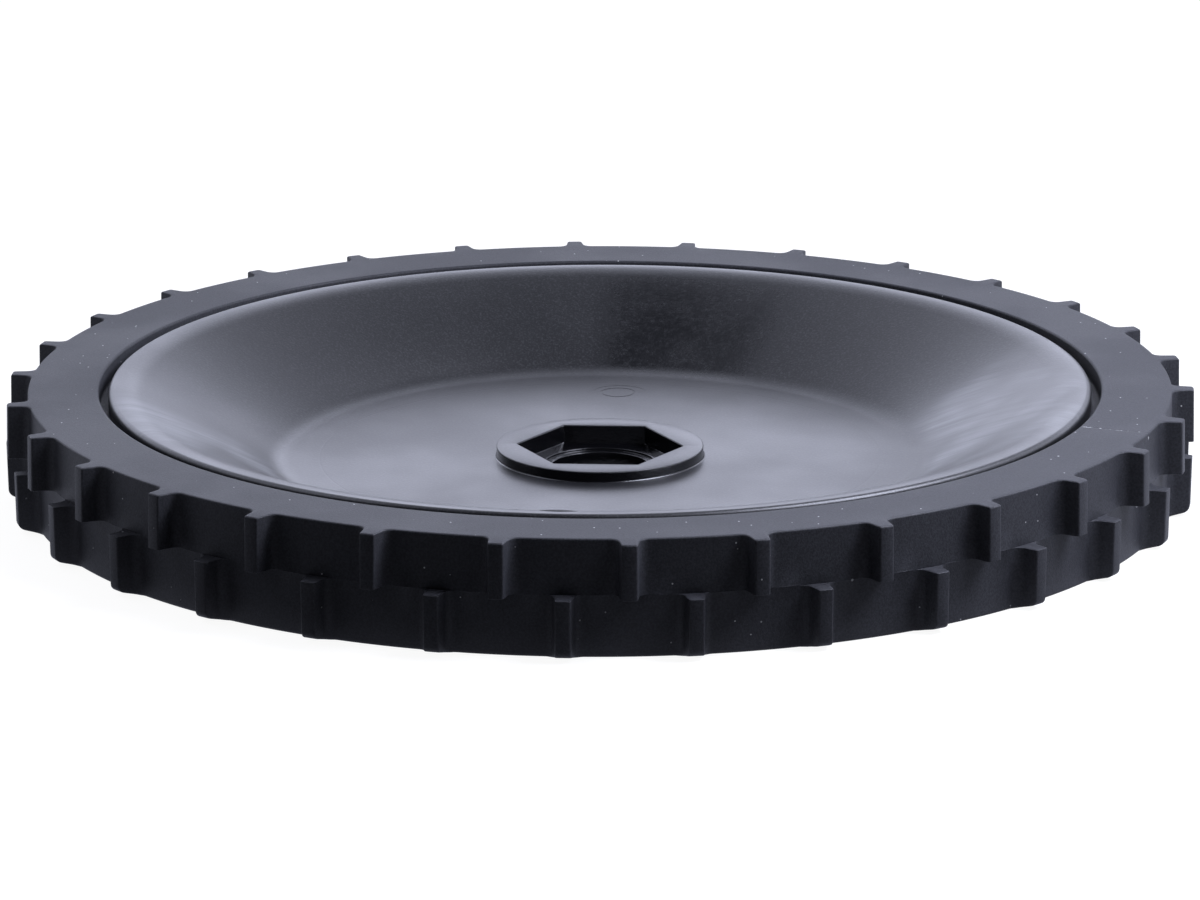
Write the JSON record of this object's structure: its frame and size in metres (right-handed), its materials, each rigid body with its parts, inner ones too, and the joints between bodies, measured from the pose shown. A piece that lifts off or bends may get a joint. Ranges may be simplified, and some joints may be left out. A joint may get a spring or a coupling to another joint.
{
  "type": "robotic mower wheel",
  "caption": "Dished drive wheel of a robotic mower: a moulded plastic bowl rim with a hexagonal hub socket, and a narrow rubber tyre with two staggered rows of tread lugs.",
  "frame": {"origin": "centre of the wheel on its axle line, at the middle of the tyre's width", "axes": "+Z along the axle line, out of the open side of the bowl; +X through a lug of the front row and a corner of the hexagonal socket"},
  "size_m": [0.246, 0.246, 0.0238],
  "materials": {
    "rim": "satin black injection moulding, lightly scuffed",
    "tyre": "matte dark grey rubber with a fine grain"
  },
  "bodies": {
    "root": {"rim": "rim", "tyre": "tyre"}
  },
  "joints": []
}
